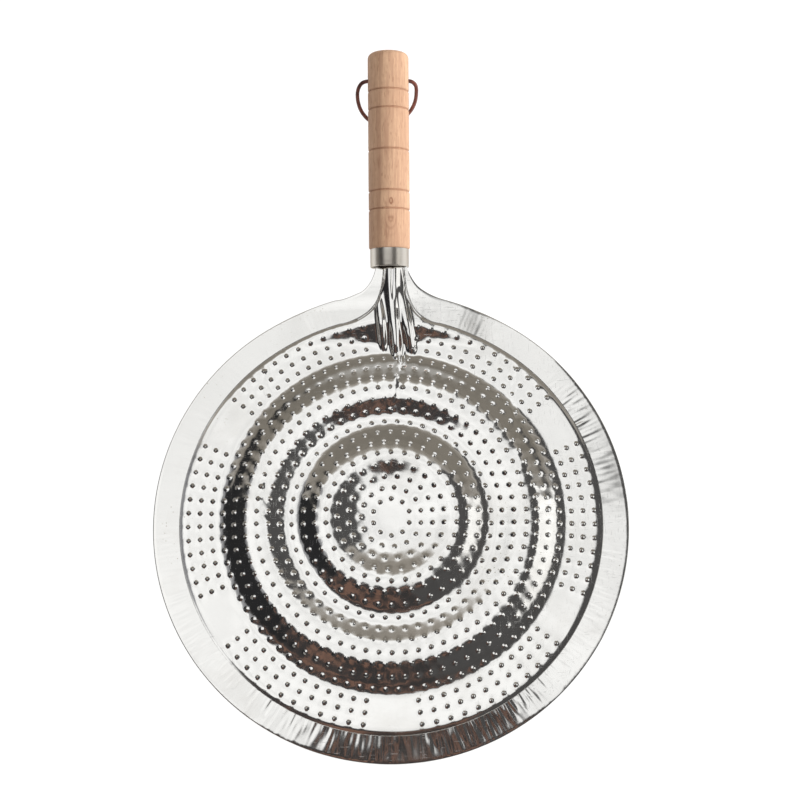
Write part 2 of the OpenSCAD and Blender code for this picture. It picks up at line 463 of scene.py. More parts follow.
# Folds of the top sheet: (distance from the middle, sideways, half width, height), in mm
folds = [
    [(119, 1.0, 3.5, 1.2), (110, 1.0, 3.3, 1.2), (103, 1.2, 2.9, 1.2), (96, 1.6, 2.4, 1.2),
     (90, 2.0, 2.2, 1.4), (85, 2.4, 2.2, 2.2), (80, 2.6, 2.1, 2.7), (76.5, 2.6, 1.7, 1.4),
     (73.5, 2.4, 1.4, 0)],
    [(119, 1.1, 0.6, -0.5), (110, 1.2, 0.6, -0.5), (104, 1.5, 0.6, -0.4), (100, 1.5, 0.5, 0)],
    [(104, -5.2, 1.1, 0.0), (99, -5.0, 1.5, 0.8), (94, -4.5, 1.8, 1.0), (88, -3.9, 1.8, 1.5),
     (83, -3.5, 1.6, 1.6), (80, -3.2, 1.4, 0.9), (77, -3.0, 1.1, 0)],
    [(108, 5.0, 1.2, 0.0), (102, 5.8, 1.7, 0.8), (93, 7.2, 2.1, 1.0), (87, 8.2, 2.1, 1.7),
     (82, 9.0, 1.9, 2.0), (78, 9.5, 1.6, 0.9), (75.5, 9.8, 1.4, 0)],
    [(79, 6.0, 0.7, 0.0), (75.3, 5.6, 1.1, -0.7), (61, 4.2, 0.9, -0.6), (52, 2.2, 0.8, -0.5),
     (47, 1.4, 0.7, 0)],
    [(76, 3.9, 0.9, 0.0), (72, 3.9, 1.3, 0.5), (61, 2.6, 1.2, 0.4), (48, 0.6, 1.0, 0)],
]


hem = {
    "steps": 1300,
    "bend": 0.6 * mm,
    "leaf": 3 * mm,  # lower leaf, under the base plate's edge
    "rootAngle": math.radians(76),  # where the hem leaves the rim for the neck
    "endAngle": math.radians(88),
    "wrinkle": 0.12 * mm,
    "wrinkleLength": 1.5 * mm,
    # (degrees round the rim, how far its outer edge is bent down in degrees)
    "droop": [
        (0, 1), (5, 2.2), (34, 2.4), (44, 0), (222, 0), (245, 5), (258, 10), (298, 10), (314, 3),
        (330, 0), (360, 1),
    ],
    # (degrees round the rim, strength of the wrinkles)
    "wrinkled": [
        (0, 0.5), (8, 1), (34, 1), (44, 0.25), (76, 0.12), (104, 0.12), (200, 0.25), (222, 0.9),
        (262, 2.4), (298, 2.4), (310, 1), (325, 0.3), (360, 0.5),
    ],
    "wander": 0.05 * mm,
    "wanderLength": 14 * mm,
    "neckFrom": 88 * mm,  # beyond this and within neckHalf its inner edge runs up the neck
    "neckHalf": 22.2 * mm,
    "neckTurn": 12 * mm,
    # its edges from the rim up the neck: (sideways, distance from the middle), in mm
    "outerRight": [
        (25.2, 101.9), (21.6, 103), (17.2, 105), (13.2, 107.7),
        (10.6, 111), (8.9, 114.2), (7.8, 117.4), (7.2, 119.4),
    ],
    "innerRight": [
        (22.2, 90.3), (18.6, 91.3), (14.8, 93.6), (11.8, 96.8),
        (9.4, 101.6), (7.8, 107.4), (7.0, 113.6), (6.5, 119.4),
    ],
    "outerLeft": [
        (-25.2, 101.9), (-21.4, 102.4), (-16.2, 104.2), (-12.2, 106),
        (-9.3, 109.2), (-7.6, 112.6), (-6.4, 116.4), (-5.9, 119.4),
    ],
    "innerLeft": [
        (-22.2, 90.3), (-18.2, 91.4), (-12.8, 94), (-8.6, 97.4),
        (-6, 101.4), (-4.2, 107), (-3.2, 113.4), (-3, 119.4),
    ],
}


def through(points, t):  # smooth curve through evenly timed points
    n = len(points) - 1
    i = min(int(t * n), n - 1)
    f = t * n - i
    p = [Vector(points[max(0, min(n, i + k))]) for k in (-1, 0, 1, 2)]
    return 0.5 * (
        2 * p[1] + (p[2] - p[0]) * f + (2 * p[0] - 5 * p[1] + 4 * p[2] - p[3]) * f * f
        + (3 * p[1] - p[0] - 3 * p[2] + p[3]) * f ** 3
    )


def gathered(x, y):  # how far the neck lifts both sheets
    side = max(0.0, 1 - abs(x) / gather["reach"]) if y > 0 else 0.0
    if side == 0:
        return 0.0
    start = gather["start"]
    eased = side * side / (2 * start) if side < start else side - start / 2
    lift = gather["rise"] * eased / (1 - start / 2)
    r = math.hypot(x, y)
    ramp = (r - gather["ramp"]) * (gather["slope"] - gather["easing"] * abs(x)) + lift
    blend = 0.5 * mm  # rounds the foot and the top of the ramp
    low = 0.5 * (ramp + math.sqrt(ramp * ramp + blend * blend))
    toMouth = max(0.0, y - gather["mouthFrom"]) / (neck["mouthY"] - gather["mouthFrom"])
    rise = gather["mouthRise"] * toMouth * min(1.0, toMouth + 0.5)
    return 0.5 * (low + lift - math.sqrt((low - lift) ** 2 + blend * blend)) + rise


def eased(line, d):  # sideways, half width and height of a fold there, without corners
    for k in range(len(line) - 1):
        if d <= line[k + 1][0]:
            break
    a, b = line[k], line[k + 1]
    before, after = line[max(k - 1, 0)], line[min(k + 2, len(line) - 1)]
    f = (d - a[0]) / (b[0] - a[0])
    found = []
    for i in (1, 2, 3):
        inward = (b[i] - before[i]) / (b[0] - before[0]) * (b[0] - a[0])
        outward = (after[i] - a[i]) / (after[0] - a[0]) * (b[0] - a[0])
        found.append(
            a[i] * (1 + 2 * f) * (1 - f) ** 2 + b[i] * f * f * (3 - 2 * f)
            + inward * f * (1 - f) ** 2 - outward * f * f * (1 - f)
        )
    return found[0], max(found[1], 0.3), found[2]


def folded(x, y):
    total = 0.0
    if y < gather["foldFrom"] or abs(x) > gather["foldHalf"]:
        return total
    for fold in folds:
        line = sorted(fold)
        d = y / mm
        if not line[0][0] <= d <= line[-1][0]:
            continue
        centre, width, height = eased(line, d)
        total += height * mm * math.exp(-abs((x / mm - centre) / width) ** 3)
    return total


def drooped(x, y):  # how far the rim is bent down
    r = math.hypot(x, y)
    start = plate["rimRadius"] - plate["hemWidth"]
    if r < start:
        return 0.0
    degrees = math.degrees(math.atan2(y, x)) % 360
    return -math.tan(math.radians(linear(hem["droop"], degrees))) * (r - start)


def fromHem(x, y):  # distance in from the hem's inner edge
    if y < hem["neckFrom"] or abs(x) > hem["neckHalf"]:
        return plate["rimRadius"] - plate["hemWidth"] - math.hypot(x, y)
    near = innerEdge.find((x, y, 0))
    within = x < near[0].x if near[0].x > 0 else x > near[0].x
    if abs(near[0].x) > hem["neckTurn"]:
        within = math.hypot(x, y) < math.hypot(near[0].x, near[0].y)
    return near[2] if within else -near[2]


def makeInnerEdge():
    steps = 120
    spots = []
    for side in ("innerRight", "innerLeft"):
        spots += [through(hem[side], i / steps) * mm for i in range(steps + 1)]
    tree = KDTree(len(spots))
    for i, spot in enumerate(spots):
        tree.insert((spot.x, spot.y, 0), i)
    tree.balance()
    return tree


innerEdge = makeInnerEdge()


def topHeight(x, y):
    r = math.hypot(x, y)
    d = fromHem(x, y)
    z = plate["seam"] + plate["sheet"] + lookUp(topTable, r) + gathered(x, y) + drooped(x, y)
    z -= pressing["borderRise"] * (1 - smooth(d / pressing["borderStep"]))
    if y > 0:
        side = smooth(1 - abs(x) / pressing["pullHalf"])
        spans = (pressing["pullRise"], pressing["pullFall"])
        risen, fallen = (smooth((r / mm - start) / (end - start)) for start, end in spans)
        z += pressing["pull"] * side * (risen - fallen)
    dentX, dentY, depth, size = pressing["dent"]
    z -= depth * math.exp(-((x - dentX) ** 2 + (y - dentY) ** 2) / size ** 2)
    return z + folded(x, y) * smooth(d / gather["foldFade"]) + uneven(x, y, 3)


def neckChannel(x, y):  # drop of the lower sheet into the round underside of the neck
    t = smooth((y - neck["channelFrom"]) / neck["channelRun"])
    if t == 0 or y < 0:
        return 0.0
    return t * neck["channel"] * math.sqrt(max(0.0, 1 - (x / neck["channelHalf"]) ** 2))


def baseHeight(x, y):
    r = math.hypot(x, y)
    return (
        plate["seam"] - plate["sheet"] - lookUp(baseTable, r) + gathered(x, y) + drooped(x, y)
        - neckChannel(x, y) + max(uneven(x, y, 40), 0)
    )


def insideNeck(x, y, margin):
    edge = gather["outerLeft"] if x < 0 else gather["outerRight"]
    return y > 95 * mm and abs(x) < linear(edge, y / mm) * mm - margin


sheet = {
    "topRadius": 104.2 * mm,
    "topFine": 0.48 * mm,  # grid of points along the neck
    "baseRadius": 103.4 * mm,
    "baseFine": 0.9 * mm,
    "inset": 0.8 * mm,  # from the neck's edge
    "neckFrom": 98,  # points along the neck's edge, in mm
    "neckStep": 0.6,
    "arcSteps": 420,
    "ring": 1.43 * mm,  # rings of points between the pimples
    "spacing": 1.7 * mm,  # and from point to point
    "fineHalf": 14.5 * mm,
    "fineFrom": 72 * mm,
    "wall": 0.36 * mm,
}


def sheetOutline(radius):
    first, step = sheet["neckFrom"], sheet["neckStep"]
    steps = [first + i * step for i in range(int((neck["sheetEnd"] - first) / step) + 1)]
    sides = []
    for name, way in (("outerRight", 1), ("outerLeft", -1)):
        edge = [(way * (linear(gather[name], y) * mm - sheet["inset"]), y * mm) for y in steps]
        sides.append([p for p in edge if math.hypot(*p) > radius + 0.2 * mm])
    right, left = sides
    gap = 0.01
    start = math.atan2(left[0][1], left[0][0]) + gap
    end = math.atan2(right[0][1], right[0][0]) - gap + 2 * math.pi
    steps = sheet["arcSteps"]
    arc = [start + (end - start) * i / steps for i in range(steps + 1)]
    ring = [(radius * math.cos(a), radius * math.sin(a)) for a in arc]
    return ring + right + left[::-1]


# One pressed sheet: pimples copied on to their rows, and the plain sheet triangulated between them
def makeSheet(name, radius, height, side, fine, places):
    pimple = makeDimple()
    shape = [v.co.copy() for v in pimple.data.vertices]
    faces = [tuple(p.vertices) for p in pimple.data.polygons]
    rim = [i for i, v in enumerate(shape) if v.xy.length > dimple["radius"] * 0.99]
    rim.sort(key=lambda i: math.atan2(shape[i].y, shape[i].x))
    bpy.data.objects.remove(pimple)
    random.seed(11)
    flat, edges = [], []
    endY = neck["sheetEnd"] * mm
    outline = sheetOutline(radius)
    flat += outline
    edges += [(i, (i + 1) % len(outline)) for i in range(len(outline))]
    points, polygons = [], []
    tree = KDTree(len(places))
    for i, (x, y, turn) in enumerate(places):
        tree.insert((x, y, 0), i)
        tall = random.uniform(0.85, 1.1)
        c, s = math.cos(turn), math.sin(turn)
        start = len(points)
        for v in shape:
            px, py = x + v.x * c - v.y * s, y + v.x * s + v.y * c
            points.append((px, py, v.z * tall))
        polygons += [tuple(start + k for k in face) for face in faces]
        first = len(flat)
        flat += [points[start + k][:2] for k in rim]
        edges += [(first + k, first + (k + 1) % len(rim)) for k in range(len(rim))]
    tree.balance()

    def clear(x, y, gap):
        return tree.find((x, y, 0))[2] > dimple["radius"] + gap

    ring, fineHalf, fineFrom = sheet["ring"], sheet["fineHalf"], sheet["fineFrom"]
    for i in range(int(radius / ring)):
        r = (i + 0.5) * ring
        number = max(6, int(2 * math.pi * r / sheet["spacing"]))
        for k in range(number):
            a = (k + (i % 2) * 0.5) * 2 * math.pi / number
            x, y = r * math.cos(a), r * math.sin(a)
            inFine = abs(x) < fineHalf and y > fineFrom
            if r < radius - 0.6 * mm and clear(x, y, 0.35 * mm) and not inFine:
                flat.append((x, y))
    for i in range(int(2 * fineHalf / fine) + 1):
        for k in range(int((endY - fineFrom) / fine)):
            x = -fineHalf + i * fine
            y = fineFrom + (k + 0.5 * (i % 2)) * fine
            inside = math.hypot(x, y) < radius - 0.5 * mm or insideNeck(x, y, sheet["inset"] + 0.4 * mm)
            if inside and y < endY - fine and clear(x, y, 0.3 * mm):
                flat.append((x, y))
    made = delaunay_2d_cdt([Vector(p) for p in flat], edges, [], 0, 1e-7)
    start = len(points)
    points += [(v.x, v.y, 0.0) for v in made[0]]
    for face in made[2]:
        x = sum(made[0][k].x for k in face) / 3
        y = sum(made[0][k].y for k in face) / 3
        if tree.find((x, y, 0))[2] < dimple["radius"] * 0.93:
            continue
        if math.hypot(x, y) < radius - 0.03 * mm or insideNeck(x, y, sheet["inset"]):
            polygons.append(tuple(start + k for k in face))
    placed = []
    for x, y, z in points:
        for _, _, far in tree.find_n((x, y, 0), 2):
            z += dimple["skirt"] * math.exp(-((far / dimple["skirtRadius"]) ** 2))
        placed.append((x, y, height(x, y) + side * z))
    piece = addMesh(name, placed, polygons)
    pick(piece)
    bpy.ops.object.mode_set(mode="EDIT")
    bpy.ops.mesh.select_all(action="SELECT")
    bpy.ops.mesh.remove_doubles(threshold=0.01 * mm)
    bpy.ops.mesh.delete_loose()
    bpy.ops.mesh.select_all(action="SELECT")
    bpy.ops.mesh.normals_make_consistent(inside=False)
    bpy.ops.object.mode_set(mode="OBJECT")
    facing = sum(p.normal.z * p.area for p in piece.data.polygons)
    if facing * side < 0:
        pick(piece)
        bpy.ops.object.mode_set(mode="EDIT")
        bpy.ops.mesh.select_all(action="SELECT")
        bpy.ops.mesh.flip_normals()
        bpy.ops.object.mode_set(mode="OBJECT")
    wall = piece.modifiers.new("wall", "SOLIDIFY")
    wall.thickness = sheet["wall"]
    wall.offset = -1
    applyAll(piece)
    return piece


places = dimplePlaces()
topPlate = makeSheet("topPlate", sheet["topRadius"], topHeight, 1, sheet["topFine"], places)
finishPiece(topPlate, "diffuser", topTin, 60)
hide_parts("top_plate")
print("top plate:", len(places), "dimples,", len(topPlate.data.polygons), "faces")

basePlate = makeSheet("basePlate", sheet["baseRadius"], baseHeight, -1, sheet["baseFine"], places)
finishPiece(basePlate, "diffuser", baseTin, 60)
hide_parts("base_plate")
print("base plate:", len(basePlate.data.polygons), "faces")



def hemSection():  # (distance in from the edge, height over the seam), all round the folded sheet
    t, b = plate["sheet"], hem["bend"]
    width = plate["hemWidth"]
    middle = t / 2
    section = [(hem["leaf"], middle - b), (1.6 * mm, middle - b)]
    for k in range(9):
        a = math.radians(-90 + k * 22.5)
        section.append((b - b * math.cos(a), middle + b * math.sin(a)))
    for k in range(1, 10):
        section.append((b + (width - b - 0.15 * mm) * k / 9, middle + b))
    section += [(width, middle + b - 0.12 * mm), (width, t + 0.06 * mm), (width - 0.1 * mm, t)]
    section += [(b + (width - b) * 0.5, t), (b, t)]
    for k in range(1, 4):
        a = math.radians(90 - k * 45)
        section.append((b - b / 3 * math.cos(a), middle + b / 3 * math.sin(a)))
    section += [(b, 0), (hem["leaf"], 0)]
    return section


def makeHem():
    section = hemSection()
    edge = plate["rimRadius"]
    start, end = math.pi - hem["endAngle"], 2 * math.pi + hem["endAngle"]
    profile = [
        ((edge - d) * math.cos(start), (edge - d) * math.sin(start), z) for d, z in section
    ]
    count = len(section)
    piece = addMesh("hem", profile, [])
    piece.data.edges.add(count)
    for i, e in enumerate(piece.data.edges):
        e.vertices = (i, (i + 1) % count)
    pick(piece)
    bpy.ops.object.mode_set(mode="EDIT")
    bpy.ops.mesh.select_all(action="SELECT")
    bpy.ops.mesh.edge_face_add()
    bpy.ops.mesh.select_all(action="SELECT")
    bpy.ops.mesh.spin(
        steps=hem["steps"], angle=start - end, center=(0, 0, 0), axis=(0, 0, 1), dupli=False
    )
    bpy.ops.mesh.select_all(action="SELECT")
    bpy.ops.mesh.remove_doubles(threshold=0.001 * mm)
    bpy.ops.mesh.normals_make_consistent(inside=False)
    bpy.ops.object.mode_set(mode="OBJECT")
    width = plate["hemWidth"]
    for v in piece.data.vertices:
        angle = math.atan2(v.co.y, v.co.x)
        fromRight = angle if angle > -math.pi / 2 else angle + 2 * math.pi
        r = v.co.xy.length
        share = (edge - r) / width
        right = v.co.x > 0
        past = (fromRight if right else math.pi - fromRight) - hem["rootAngle"]
        if past > 0:
            t = min(1.0, past / (hem["endAngle"] - hem["rootAngle"]))
            outer = through(hem["outerRight" if right else "outerLeft"], t) * mm
            inner = through(hem["innerRight" if right else "innerLeft"], t) * mm
            spot = outer.lerp(inner, share)
        else:
            spot = v.co.xy
        x, y = spot
        z = plate["seam"] + v.co.z + gathered(x, y) + drooped(x, y)
        if v.co.z > plate["sheet"] and share > 0.02:
            degrees = math.degrees(fromRight) % 360
            strength = linear(hem["wrinkled"], degrees)
            around = fromRight * edge / hem["wrinkleLength"]
            ripple = noise.noise(Vector((around, share * 1.2, 5))) + 0.6 * noise.noise(
                Vector((around * 0.35, share * 0.8, 17))
            )
            bulge = math.sin(min(1, share * 1.3) * math.pi * 0.5)
            z += hem["wrinkle"] * strength * ripple * bulge
            far = hem["wanderLength"]
            z += hem["wander"] * noise.noise(Vector((x / far, y / far, 2)))
        v.co = (x, y, z)
    return piece


hemPiece = makeHem()
finishPiece(hemPiece, "diffuser", hemTin, 35)
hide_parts("base_plate")
print("hem:", len(hemPiece.data.polygons), "faces")


handle = {
    "radius": 9.5 * mm,
    "ferrule": 8.4 * mm,  # length of the ferrule
    "woodStart": 1.2 * mm,
    "end": 99.4 * mm,
    "spigot": 8.4 * mm,
    "boreRadius": 5 * mm,
    "boreEnd": 33.2 * mm,
    "endRound": 2.6 * mm,
    "grooves": [26.4 * mm, 34.9 * mm, 53.9 * mm, 72.9 * mm, 81.4 * mm],
    "grooveDepth": 0.6 * mm,
    "grooveHalf": 0.75 * mm,
    # (distance from the groove's middle in mm, share of the depth)
    "grooveShape": [(-0.5, 0.12), (-0.28, 0.62), (-0.1, 1), (0.1, 1), (0.28, 0.62), (0.5, 0.12), (0.75, 0)],
    "sides": 96,
}


def toHandle(piece):  # from a mesh drawn along Z to its place on the handle's axis
    turn = Matrix.Rotation(neck["raise"] - math.pi / 2, 4, "X")
    piece.data.transform(Matrix.Translation(mouth) @ turn)


def spinProfile(name, profile, closed, sides):
    piece = addMesh(name, [(r, 0, z) for r, z in profile], [])
    count = len(profile)
    piece.data.edges.add(count if closed else count - 1)
    for i, e in enumerate(piece.data.edges):
        e.vertices = (i, (i + 1) % count)
    pick(piece)
    bpy.ops.object.mode_set(mode="EDIT")
    bpy.ops.mesh.select_all(action="SELECT")
    bpy.ops.mesh.spin(steps=sides, angle=2 * math.pi, center=(0, 0, 0), axis=(0, 0, 1))
    bpy.ops.mesh.select_all(action="SELECT")
    bpy.ops.mesh.remove_doubles(threshold=0.01 * mm)
    bpy.ops.mesh.normals_make_consistent(inside=False)
    bpy.ops.object.mode_set(mode="OBJECT")
    return piece


def makeHandle():
    r, spigot, ferruleEnd = handle["radius"], handle["spigot"], handle["ferrule"]
    half = handle["grooveHalf"]
    profile = [
        (0, handle["boreEnd"]), (handle["boreRadius"], handle["boreEnd"]),
        (handle["boreRadius"], handle["woodStart"]), (spigot, handle["woodStart"]),
        (spigot, ferruleEnd + 0.02 * mm), (spigot + 0.5 * mm, ferruleEnd + 0.05 * mm),
        (r - 0.12 * mm, ferruleEnd + 0.5 * mm), (r, ferruleEnd + 0.9 * mm),
    ]
    z = ferruleEnd + 0.9 * mm
    for groove in handle["grooves"]:
        pieces = max(2, int((groove - half - z) / (2 * mm)))
        for k in range(1, pieces + 1):
            profile.append((r, z + (groove - half - z) * k / pieces))
        for dz, depth in handle["grooveShape"]:
            profile.append((r - handle["grooveDepth"] * depth, groove + dz * mm))
        z = groove + half
    bend = handle["endRound"]
    for k in range(1, 6):
        profile.append((r, z + (handle["end"] - bend - z) * k / 6))
    for k in range(9):
        a = math.radians(k * 90 / 8)
        profile.append((r - bend + bend * math.cos(a), handle["end"] - bend + bend * math.sin(a)))
    profile += [(r * 0.4, handle["end"]), (0, handle["end"])]
    piece = spinProfile("turnedHandle", profile, False, handle["sides"])
    for v in piece.data.vertices:  # turned by hand: never quite straight
        radius = v.co.xy.length
        if radius > handle["boreRadius"] * 1.1 and v.co.z > ferruleEnd:
            wobble = 0.07 * mm * noise.noise(Vector((v.co.x * 90, v.co.y * 90, v.co.z * 60)))
            v.co.xy *= 1 + min(0, wobble - 0.03 * mm) / radius
    deselectAll()
    bpy.ops.mesh.primitive_cylinder_add(
        vertices=32, radius=loop["holeRadius"], depth=30 * mm, location=(0, 0, loop["holeDistance"]),
        rotation=(0, math.pi / 2, 0),
    )
    drill = bpy.context.object
    cut = piece.modifiers.new("loopHole", "BOOLEAN")
    cut.operation = "DIFFERENCE"
    cut.solver = "EXACT"
    cut.object = drill
    applyAll(piece)
    bpy.data.objects.remove(drill)
    toHandle(piece)
    return piece


ferrule = {"radius": 8.9 * mm, "wall": 0.45 * mm, "lip": 0.5 * mm, "length": handle["ferrule"]}


def makeFerrule():
    r, wall, lip, length = (ferrule[k] for k in ("radius", "wall", "lip", "length"))
    profile = [(r - wall, length - 0.05 * mm), (r - wall, lip * 1.4)]
    for k in range(13):  # rolled lip at the mouth
        a = math.radians(150 + k * 17.5)
        profile.append((r - lip + lip * math.cos(a), lip + lip * math.sin(a)))
    for z in (1.2, 2.0, 3.2, 4.4, 5.6, 6.8, 7.8):
        profile.append((r - (0.06 * mm if z < 1.9 else 0), z * mm))
    profile.append((r - 0.05 * mm, length - 0.05 * mm))
    profile += [(r - 0.15 * mm, length), (r - wall + 0.08 * mm, length)]
    piece = spinProfile("ferruleTube", profile, True, 96)
    for v in piece.data.vertices:
        dent = 0.05 * mm * noise.noise(Vector((v.co.x * 160, v.co.y * 160, v.co.z * 90)))
        v.co.xy *= 1 + min(0, dent - 0.02 * mm) / max(v.co.xy.length, mm)
    toHandle(piece)
    return piece


handleFrame = {
    "location": tuple(mouth),
    "rotation": (neck["raise"] - math.pi / 2, 0, 0),
}
wood = {
    "pale": (0.665, 0.435, 0.28, 1),
    "warm": (0.5, 0.3, 0.195, 1),
    "dark": (0.30, 0.145, 0.085, 1),
    "ferruleShade": (0.02, 0.016, 0.014, 1),  # painted shade on the wood inside the ferrule, where no light reaches
    "knot": 22 * mm,  # distance along the handle
    "nick": 29.5 * mm,
    "streak": 47 * mm,
    "leftShadeNearFerrule": (15 * mm, 60 * mm),  # painted shade on the handle's left side, strongest near the ferrule
}


def onHandleCoords(tree):  # object coordinates turned so that Z runs along the handle
    place = addNode(tree, "ShaderNodeTexCoord").outputs["Object"]
    return mapped(
        tree, place, location=handleFrame["location"], rotation=handleFrame["rotation"], kind="TEXTURE"
    )


def spotMask(tree, place, centre, size, inner=0.6):
    moved = mapped(tree, place, location=centre, scale=size, kind="TEXTURE")
    distance = addNode(tree, "ShaderNodeVectorMath", {"operation": "LENGTH"}, i0=moved).outputs["Value"]
    return fade(tree, distance, 1.0, inner), distance


def makeBeech():
    material, tree, shader = newMaterial("turnedBeech")
    place = onHandleCoords(tree)
    parts = addNode(tree, "ShaderNodeSeparateXYZ", None, i0=place).outputs
    knotSpot = (0.8 * mm, -9.3 * mm, wood["knot"])
    knotMask, knotDistance = spotMask(tree, place, knotSpot, (5.4 * mm, 9 * mm, 11 * mm), 0.05)
    below = fade(tree, parts[2], wood["knot"] + 2 * mm, wood["knot"] - mm)
    knotMask = calc(tree, "MULTIPLY", knotMask, below)
    eye, _ = spotMask(tree, place, knotSpot, (1.9 * mm, 4 * mm, 1.1 * mm), 0.3)
    warp = noiseTexture(tree, mapped(tree, place, scale=(60, 60, 14)), 1.0, 2.0)
    warped = addNode(tree, "ShaderNodeVectorMath", {"operation": "MULTIPLY_ADD"})
    spread = addNode(tree, "ShaderNodeCombineXYZ", None, X=warp, Y=warp)
    tree.links.new(spread.outputs[0], warped.inputs[0])
    warped.inputs[1].default_value = (0.003, 0.003, 0)
    tree.links.new(place, warped.inputs[2])
    grain = warped.outputs[0]
    rings = noiseTexture(tree, mapped(tree, grain, scale=(520, 240, 26)), 1.0, 4.0, 0.6, 0.4)
    fibres = noiseTexture(tree, mapped(tree, grain, scale=(2400, 2400, 110)), 1.0, 3.0, 0.6)
    flecks = noiseTexture(tree, mapped(tree, grain, scale=(1500, 1500, 260)), 1.0, 1.0, 0.5)
    cloud = noiseTexture(tree, mapped(tree, place, scale=(90, 90, 45)), 1.0, 3.0, 0.55)
    colour = mixColour(tree, fade(tree, rings, 0.36, 0.66), wood["pale"], wood["warm"])
    mottle = noiseTexture(tree, mapped(tree, place, scale=(700, 700, 330)), 1.0, 4.0, 0.7)
    colour = mixColour(tree, fade(tree, cloud, 0.35, 0.7, 0, 0.55), colour, wood["warm"])
    colour = mixColour(tree, fade(tree, mottle, 0.35, 0.65, 0, 0.4), colour, wood["warm"])
    colour = mixColour(tree, fade(tree, flecks, 0.58, 0.72, 0, 0.4), colour, wood["dark"])
    colour = mixColour(tree, fade(tree, fibres, 0.4, 0.8, 0, 0.3), colour, wood["dark"])
    # painted shade: the handle's left side is darkened, fading out between 15 and 60 mm along
    low, high = wood["leftShadeNearFerrule"]
    leftShadeNearFerrule = calc(
        tree, "MULTIPLY", fade(tree, parts[2], high, low), fade(tree, parts[0], 5 * mm, -5 * mm)
    )
    colour = mixColour(tree, calc(tree, "MULTIPLY", leftShadeNearFerrule, 0.16), colour, wood["dark"])
    knotRings = addNode(
        tree, "ShaderNodeMath", {"operation": "SINE"}, i0=calc(
            tree, "MULTIPLY_ADD", warp, 7.0, calc(tree, "MULTIPLY", knotDistance, 21.0))
    ).outputs[0]
    ringMask = calc(tree, "MULTIPLY", knotMask, fade(tree, knotRings, -0.2, 0.9))
    colour = mixColour(tree, calc(tree, "MULTIPLY", ringMask, 0.5), colour, wood["dark"])
    colour = mixColour(tree, calc(tree, "MULTIPLY", eye, 0.55), colour, wood["dark"])
    top = -handle["radius"]
    nickSpot = (1 * mm, top, wood["nick"])
    nick, _ = spotMask(tree, place, nickSpot, (1.1 * mm, 4 * mm, 2.1 * mm), 0.6)
    coreSpot = (0.9 * mm, top, wood["nick"] + 0.2 * mm)
    core, _ = spotMask(tree, place, coreSpot, (0.45 * mm, 3 * mm, 1.2 * mm), 0.6)
    nick = calc(tree, "SUBTRACT", nick, calc(tree, "MULTIPLY", core, 0.7), clamp=True)
    colour = mixColour(tree, nick, colour, wood["dark"])
    streakSpot = (-4.6 * mm, -8.4 * mm, wood["streak"])
    streak, _ = spotMask(tree, place, streakSpot, (0.8 * mm, 4 * mm, 4 * mm), 0.1)
    colour = mixColour(tree, calc(tree, "MULTIPLY", streak, 0.5), colour, wood["dark"])
    # painted shade: the turned grooves are darkened
    grooves = None
    for groove in handle["grooves"]:
        near = calc(tree, "ABSOLUTE", calc(tree, "SUBTRACT", parts[2], groove))
        mask = fade(tree, near, 0.75 * mm, 0.1 * mm)
        grooves = mask if grooves is None else calc(tree, "MAXIMUM", grooves, mask)
    colour = mixColour(tree, calc(tree, "MULTIPLY", grooves, 0.38), colour, wood["dark"])
    # painted shade: the wood inside the ferrule is darkened to near black
    colour = mixColour(tree, fade(tree, parts[2], 8.6 * mm, 7.6 * mm, 0, 0.93), colour, wood["ferruleShade"])
    tree.links.new(colour, shader.inputs["Base Color"])
    shader.inputs["Specular IOR Level"].default_value = 0.3
    tree.links.new(fade(tree, fibres, 0.3, 0.8, 0.62, 0.78), shader.inputs["Roughness"])
    height = calc(tree, "MULTIPLY_ADD", flecks, -0.6, fibres)
    bump = addNode(tree, "ShaderNodeBump", None, Strength=0.35, Distance=0.0003, Height=height)
    tree.links.new(bump.outputs[0], shader.inputs["Normal"])
    return material


nickel = {
    "colour": (0.68, 0.64, 0.58, 1),
    "brushed": (0.72, 0.685, 0.63, 1),
    "worn": (0.56, 0.51, 0.45, 1),
    "edge": (0.45, 0.42, 0.38, 1),  # reflection at a glancing angle
}


def makeNickel():
    material, tree, shader = newMaterial("satinNickel")
    place = onHandleCoords(tree)
    marks = useGroup(tree, handlingMarks, Vector=place, Scale=240.0, Turn=(0.3, 0, 0))
    lines = noiseTexture(tree, mapped(tree, place, scale=(60, 60, 2600)), 1.0, 3.0, 0.6)
    colour = mixColour(tree, fade(tree, lines, 0.3, 0.75), nickel["colour"], nickel["brushed"])
    patches = calc(tree, "MULTIPLY", marks.outputs["Patches"], 0.3)
    colour = mixColour(tree, patches, colour, nickel["worn"])
    tree.links.new(colour, shader.inputs["Base Color"])
    shader.inputs["Metallic"].default_value = 1.0
    shader.inputs["Specular Tint"].default_value = nickel["edge"]
    rough = fade(tree, lines, 0.3, 0.75, 0.28, 0.36)
    rough = calc(tree, "MULTIPLY_ADD", marks.outputs["Scratches"], 0.02, rough)
    tree.links.new(rough, shader.inputs["Roughness"])
    bump = addNode(tree, "ShaderNodeBump", None, Strength=0.04, Distance=0.0001, Height=lines)
    tree.links.new(bump.outputs[0], shader.inputs["Normal"])
    return material


leather = {
    "dark": (0.075, 0.022, 0.018, 1),
    "red": (0.2, 0.062, 0.042, 1),
    "crease": (0.03, 0.011, 0.009, 1),
}


